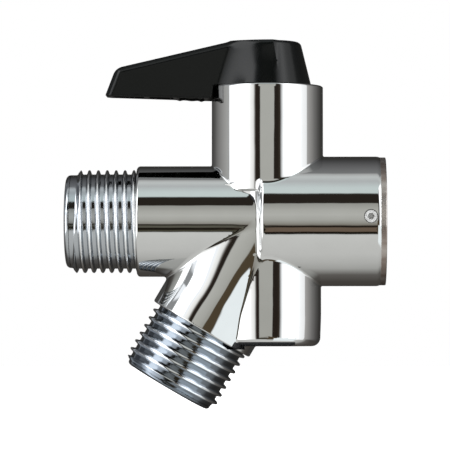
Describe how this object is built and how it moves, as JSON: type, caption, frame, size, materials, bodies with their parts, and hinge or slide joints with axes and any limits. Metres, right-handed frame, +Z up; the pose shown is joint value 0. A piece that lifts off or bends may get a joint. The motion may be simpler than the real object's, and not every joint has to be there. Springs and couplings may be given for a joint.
{
  "type": "shower diverter valve",
  "caption": "Chrome three-way shower diverter: female inlet, straight and slanted male outlets on one cast body, with a black lever that turns to choose the outlet.",
  "frame": {"origin": "centre of the inlet mouth, in the plane of its end face", "axes": "+X out of the inlet, +Z up the stem to the lever, -Y towards the viewer of the picture"},
  "size_m": [0.0649, 0.0264, 0.0747],
  "materials": {
    "chrome_plate": "bright chrome plate over cast brass, polished outside, duller on the threads",
    "black_plastic": "black moulded plastic, satin to gloss",
    "turned_brass": "turned brass, fine lathe lines",
    "black_rubber": "matt black rubber",
    "bright_steel": "bright stainless steel",
    "white_ptfe": "white low-friction plastic"
  },
  "bodies": {
    "body": {"valve_body": "chrome_plate", "inlet_set_screw": "bright_steel", "gland_nut": "turned_brass", "gland_o_ring": "black_rubber", "upper_thrust_washer": "white_ptfe", "lower_thrust_washer": "white_ptfe", "stop_pin": "bright_steel", "inlet_filter": "bright_steel", "inlet_washer": "black_rubber"},
    "rotor": {"diverter_spool": "turned_brass", "straight_port_seal": "black_rubber", "branch_port_seal": "black_rubber", "straight_seal_spring": "bright_steel", "branch_seal_spring_upper": "bright_steel", "branch_seal_spring_lower": "bright_steel", "spindle_o_ring_lower": "black_rubber", "spindle_o_ring_upper": "black_rubber", "lever": "black_plastic", "lever_screw": "bright_steel", "lever_lock_washer": "bright_steel", "lever_cap": "black_plastic"}
  },
  "joints": [
    {"name": "lever_turn", "type": "hinge", "parent": "body", "child": "rotor", "pos_m": [-0.024, 0, 0], "axis": [0, 0, 1], "range_deg": [0, 90]}
  ]
}
